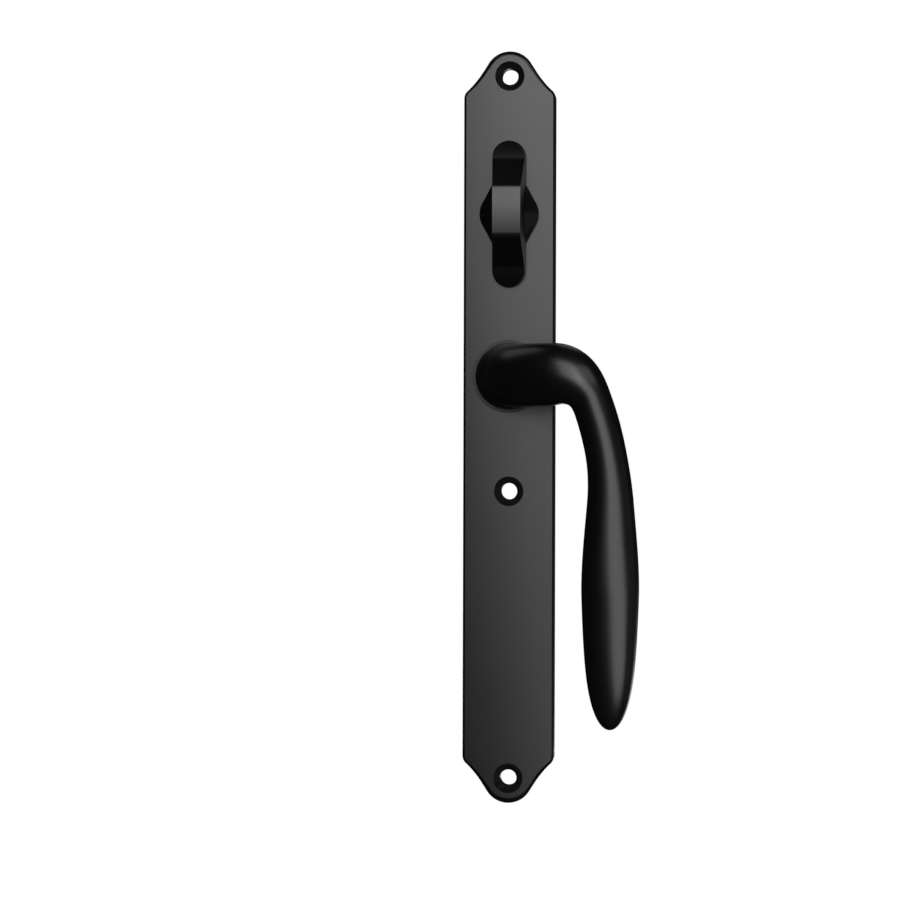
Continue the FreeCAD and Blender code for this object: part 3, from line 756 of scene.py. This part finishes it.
# Thumbturn: a straight blade that narrows to the front, on a low leaf-shaped hub. Its foot is cut from
# a longer blade, and the plan's taper runs on over that spare length
turn = {
    "z": turnAxis, "baseY": -10.9, "halfLength": 31.25, "frontY": -33.5, "crown": 0.5, "halfFront": 10.5,
    "toeY": -18.2, "toeZ": 22.65, "tipY": -12.1, "tipZ": 32.25, "toeBulge": 0.35, "toeSteps": 8, "toeRunOut": 0.15,
    "halfBase": 7.2, "halfNarrow": 5.9, "spareFoot": 3.0, "taperRunOn": 0.13,
    "frontFillet": 3.0, "toeFillet": 3.5, "filletSegments": 6, "frontCuts": 7,
    "edgeFillet": 1.0, "edgeSegments": 4, "edgeAngle": 40.0,
    "hubWall": 1.6, "hubHeight": 8.0, "hubSides": 96,
    "hubFoot": {"sideX": 2.8, "sideRadius": 9.8, "endZ": 19.4, "endRadius": 3.0},
    "hubTop": {"sideX": 1.5, "sideRadius": 5.0, "endZ": 13.0, "endRadius": 2.0},
    "seamRound": 0.4, "sharpAngle": 24.0,
    "journal": {"radius": 6.0, "flat": 1.0, "groove": 0.4, "seat": -10.9, "flats": -4.5, "grooveY": -2.9,
                "grooveWidth": 1.05, "end": -1.1, "z": turnAxis},
    "socketHalf": 3.05, "socketDepth": 12.0,
    "thread": {"crest": 1.55, "root": 1.85, "pitch": 0.5, "length": 10.0, "start": -13.0, "y": -14.1, "sides": 40},
}


# Joins pieces that are in place and wraps them tightly
def hullOf(name, pieces):
    hull = joinAs(name, pieces)
    selectAll(hull)
    bpy.ops.mesh.remove_doubles(threshold=hullGap * mm)
    bpy.ops.mesh.convex_hull()
    leaveEdit()
    return tidyMesh(hull)


# Pulls both toes out to their tips along a slightly bulged line
def extrudeToes(piece, look, base):
    z0, toeY, toeZ, tipY, tipZ = look["z"], look["toeY"], look["toeZ"], look["tipY"], look["tipZ"]
    chord = math.hypot(tipY - toeY, tipZ - toeZ)
    for up in (1, -1):
        lastY, lastZ = toeY, toeZ
        for step in range(1, look["toeSteps"] + 1):
            share = step / look["toeSteps"]
            bulge = 4 * look["toeBulge"] * share * (1 - share)
            nextY = between(toeY, tipY, share) - bulge * (tipZ - toeZ) / chord
            nextZ = between(toeZ, tipZ, share) + bulge * (tipY - toeY) / chord
            selectFaces(piece, lambda centre, normal: normal.z * up > facing and abs(abs(centre.z - z0) - lastZ) < near)
            extrudeBy((0, 0, up * (nextZ - lastZ)))
            bpy.ops.transform.resize(value=(1, (nextY - base) / (lastY - base), 1), center_override=(0, base * mm, 0))
            leaveEdit()
            lastY, lastZ = nextY, nextZ


# Moves the front's cross lines out to its shallow crown
def crownFront(piece, look):
    z0, frontLimit = look["z"], look["frontY"] + near
    levels = sorted({round(point.co.z / mm - z0, 2) for point in piece.data.vertices
                     if point.co.y / mm < frontLimit})
    reach = max(levels)
    for level in levels:
        selectPoints(piece, lambda point: point.y < frontLimit and abs(point.z - z0 - level) < 2 * exact)
        bpy.ops.transform.translate(value=(0, -look["crown"] * (1 - (level / reach) ** 2) * mm, 0))
        leaveEdit()


def makeBlade(look):
    z0, half, base = look["z"], look["halfBase"] + past, look["baseY"] + look["spareFoot"]
    toeY, toeZ, frontY, halfFront = look["toeY"], look["toeZ"], look["frontY"], look["halfFront"]
    piece = addBox("thumbTurn", (-half, toeY, z0 - toeZ), (half, base, z0 + toeZ))
    extrudeToes(piece, look, base)
    selectFaces(piece, lambda centre, normal: normal.y < -facing and abs(centre.z - z0) < near)
    extrudeBy((0, frontY - toeY, 0))
    bpy.ops.transform.resize(value=(1, 1, halfFront / toeZ), center_override=(0, 0, z0 * mm))
    leaveEdit()

    ramp = math.atan2(toeY - frontY, toeZ - halfFront)
    toeSlope = math.atan2(look["tipY"] - toeY, look["tipZ"] - toeZ) - look["toeRunOut"]
    for level, y, radius, bend in ((halfFront, frontY, look["frontFillet"], ramp),
                                   (toeZ, toeY, look["toeFillet"], ramp - toeSlope)):
        bevelEdges(piece, lambda a, b: (abs(a.x - b.x) > half and abs(abs(a.z - z0) - level) < near
                                        and abs(a.y - y) < near),
                   radius * math.tan(bend / 2), look["filletSegments"])
    selectEdges(piece, lambda a, b: abs(a.z - b.z) > halfFront and max(a.y, b.y) < frontY + near)
    bpy.ops.mesh.subdivide(number_cuts=look["frontCuts"])
    leaveEdit()
    crownFront(piece, look)

    rounds = []
    for side in (-1, 1):
        rounds.append(addRound("planEnd", look["halfNarrow"], frontY - look["crown"], base, 0,
                               z0 + side * (look["halfLength"] - look["halfBase"]),
                               endRadius=between(look["halfBase"], look["halfNarrow"], -look["taperRunOn"])))
    combine(piece, hullOf("bladePlan", rounds), "INTERSECT")
    tidyMesh(piece)
    applyModifier(piece, "BEVEL", width=look["edgeFillet"] * mm, segments=look["edgeSegments"],
                  limit_method="ANGLE", angle_limit=math.radians(look["edgeAngle"]), use_clamp_overlap=True)
    selectAll(piece)
    bpy.ops.mesh.bisect(plane_co=(0, look["baseY"] * mm, 0), plane_no=(0, 1, 0), use_fill=True, clear_outer=True)
    leaveEdit()
    return piece


# Wrapped over its outline at the foot, above the low wall and at the blade
def makeHub(look):
    z0, base = look["z"], look["baseY"]
    circles = []
    for y, outline in ((base, "hubFoot"), (base - look["hubWall"], "hubFoot"), (base - look["hubHeight"], "hubTop")):
        shape = look[outline]
        for radius, x, z in ((shape["sideRadius"], shape["sideX"], 0), (shape["endRadius"], 0, shape["endZ"])):
            for side in (-1, 1):
                deselectAll()
                bpy.ops.mesh.primitive_circle_add(
                    vertices=look["hubSides"], radius=radius * mm, rotation=(math.pi / 2, 0, 0),
                    location=(side * x * mm, y * mm, (z0 + side * z) * mm))
                circles.append(applyPlace(bpy.context.object))
    return hullOf("hub", circles)


def makeTurn(look):
    piece = makeBlade(look)
    combine(piece, makeHub(look), "UNION")
    combine(piece, addJournal(look["journal"]), "UNION")
    z0 = look["z"]
    cutSocket(piece, z0, look["socketHalf"], look["baseY"] - look["socketDepth"])
    thread = look["thread"]
    cutter = addThread(Vector((thread["start"], thread["y"], z0)), Vector((0, 1, 0)), Vector((0, 0, 1)), thread)
    tidyMesh(piece)
    roundAndShade(piece, look["seamRound"], look["sharpAngle"], cutter)
    finishPiece(piece, enamel, "turn", "black_coat", "thumbturn")
    print("thumbturn made:", len(piece.data.polygons), "faces")


makeTurn(turn)


# Flanged bushes, moulded: the flange shows as a thin collar under each foot
bushes = {
    "lever": {"bore": 9.06, "wall": 2.5, "flange": 15.4, "thick": 1.2, "z": 0.0, "node": "lever_bush"},
    "turn": {"bore": 6.06, "wall": 1.6, "flange": 9.5, "thick": 0.8, "z": turnAxis, "node": "turn_bush"},
}
bushFit = {"front": -10.0, "back": -5.2, "overlap": 0.2, "boreSpare": 3.0, "edge": 0.25}


def makeBush(name, look):
    front, z = bushFit["front"], look["z"]
    piece = addRound(name + "Bush", look["bore"] + look["wall"], front - bushFit["overlap"], bushFit["back"], 0, z)
    combine(piece, addRound("collar", look["flange"], front - look["thick"], front, 0, z), "UNION")
    combine(piece, addRound("bore", look["bore"], front - bushFit["boreSpare"], past, 0, z), "DIFFERENCE")
    roundAndShade(piece, bushFit["edge"])
    finishPiece(piece, nylon, "plate", "black_nylon", look["node"])


for name, look in bushes.items():
    makeBush(name, look)
print("bushes made")


# The spindles keep their shape from the part: a welded copy gets broken edges
spindles = {
    "spindle": {"body": "lever", "edge": 0.35},
    "turn_spindle": {"body": "turn", "edge": 0.25},
}


def dressSpindle(node, look):
    source = nodes[node]
    piece = source.copy()
    piece.data = source.data.copy()
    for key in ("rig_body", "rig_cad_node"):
        if key in piece:
            del piece[key]
    piece.parent = None
    scene.collection.objects.link(piece)
    piece.name = node + "Dressed"
    pick(piece)
    if piece.data.has_custom_normals:
        bpy.ops.mesh.customdata_custom_splitnormals_clear()
    tidyMesh(piece)
    roundAndShade(piece, look["edge"])
    finishPiece(piece, zincBar, look["body"], "zinc_steel", node)


for node, look in spindles.items():
    dressSpindle(node, look)
print("spindles dressed")


# CAD nodes that keep their own mesh get a worked-out finish
def finishNodes():
    finishes = {"black_coat": enamel, "black_nylon": nylon, "zinc_steel": zincSheet, "black_steel": springSteel}
    for node in nodes.values():
        for slot in node.material_slots:
            if slot.material and slot.material.name in finishes:
                slot.material = finishes[slot.material.name]


finishNodes()


# Studio: soft boxes, each by its bearing and height in degrees as seen from the handle, its size in metres and
# its roll. A tall one in front, a long one that slants down to the right, a wide dimmer one above, and three
# more for the rest
studio = {
    "front": {"bearing": -8.0, "height": 28.0, "size": (1.13, 1.5), "roll": 0.0, "radiance": 2.5},
    "slanted": {"bearing": 25.6, "height": -4.5, "size": (2.7, 1.2), "roll": -37.5, "radiance": 2.55},
    "above": {"bearing": 30.0, "height": 36.0, "size": (2.1, 0.9), "roll": 12.0, "radiance": 1.4},
    "top": {"bearing": 205.0, "height": 50.0, "size": (2.4, 1.2), "roll": 0.0, "radiance": 0.42},
    "side": {"bearing": 88.0, "height": -6.0, "size": (1.2, 1.2), "roll": 0.0, "radiance": 0.14},
    "back": {"bearing": 158.0, "height": -19.0, "size": (1.8, 0.6), "roll": 0.0, "radiance": 1.8},
}
boxDistance = 1.9
whiteLight = (1, 1, 1, 1)


def addBoxLight(name, look):
    bearing, height = math.radians(look["bearing"]), math.radians(look["height"])
    place = boxDistance * Vector((math.sin(bearing) * math.cos(height), -math.cos(bearing) * math.cos(height),
                                  math.sin(height)))
    toward = (-place).to_track_quat("-Z", "Y") @ Quaternion((0, 0, 1), math.radians(look["roll"]))
    deselectAll()
    bpy.ops.object.light_add(type="AREA", location=place, rotation=toward.to_euler())
    light = bpy.context.object
    light.name = name + "Box"
    light.data.shape = "RECTANGLE"
    light.data.size, light.data.size_y = look["size"]
    light.data.energy = look["radiance"] * math.pi * look["size"][0] * look["size"][1]


for name, look in studio.items():
    addBoxLight(name, look)


# Pale paper, in metres: the camera sees it lifted to the background's white where no shadow falls on it,
# a reflection sees it dim
floor = {
    "z": -0.95, "near": -1.6, "far": 1.6, "half": 1.6, "colour": "#e9e9e7", "inGloss": "#202020", "lift": 0.75,
    "roughness": 0.9, "fibreScale": 400.0, "fibreDetail": 2.0, "fibreHeight": 0.1, "fibreStrength": 0.1,
}


def addFloor(look):
    deselectAll()
    bpy.ops.mesh.primitive_plane_add(size=1, location=(0, (look["near"] + look["far"]) / 2, look["z"]))
    bpy.context.object.scale = (2 * look["half"], look["far"] - look["near"], 1)
    ground = applyPlace(bpy.context.object)
    ground.name = "studioFloor"
    material, tree, place = newMaterial("matPaperFloor")
    fibre = addNoise(tree, place, look["fibreScale"], look["fibreDetail"])
    paper = addNode(tree, "ShaderNodeBsdfPrincipled",
                    {"Base Color": hexColour(look["colour"]), "Roughness": look["roughness"]},
                    {"Normal": addBump(tree, look["fibreStrength"], look["fibreHeight"], fibre)})
    dark = addNode(tree, "ShaderNodeBsdfPrincipled",
                   {"Base Color": hexColour(look["inGloss"]), "Roughness": look["roughness"]})
    path = addNode(tree, "ShaderNodeLightPath")
    lift = addNode(tree, "ShaderNodeMath", {"operation": "MULTIPLY", 1: look["lift"]},
                   {0: path.outputs["Is Camera Ray"]})
    glow = addNode(tree, "ShaderNodeEmission", {"Color": whiteLight}, {"Strength": lift.outputs[0]})
    seen = addNode(tree, "ShaderNodeAddShader", {}, {0: paper.outputs[0], 1: glow.outputs[0]})
    surface = mixShaders(tree, path.outputs["Is Glossy Ray"], seen.outputs[0], dark.outputs[0])
    addNode(tree, "ShaderNodeOutputMaterial", {}, {"Surface": surface})
    ground.data.materials.append(material)


addFloor(floor)


# World: white where the camera looks past the object, dim for gloss, a little fill for the rest
surroundings = {"fill": 0.3, "gloss": 0.012, "white": 1.0}


def makeWorld(look):
    world = bpy.data.worlds.new("studioWorld")
    world.use_nodes = True
    tree = world.node_tree
    tree.nodes.clear()
    path = addNode(tree, "ShaderNodeLightPath")
    seen = addNode(tree, "ShaderNodeMath", {"operation": "MAXIMUM"},
                   {0: path.outputs["Is Camera Ray"], 1: path.outputs["Is Transmission Ray"]})
    fill, gloss, white = [
        addNode(tree, "ShaderNodeBackground", {"Color": whiteLight, "Strength": look[part]}).outputs[0]
        for part in ("fill", "gloss", "white")]
    room = mixShaders(tree, path.outputs["Is Glossy Ray"], fill, gloss)
    addNode(tree, "ShaderNodeOutputWorld", {}, {"Surface": mixShaders(tree, seen.outputs[0], room, white)})
    scene.world = world


makeWorld(surroundings)
scene.view_settings.view_transform = "Standard"
print("studio made")
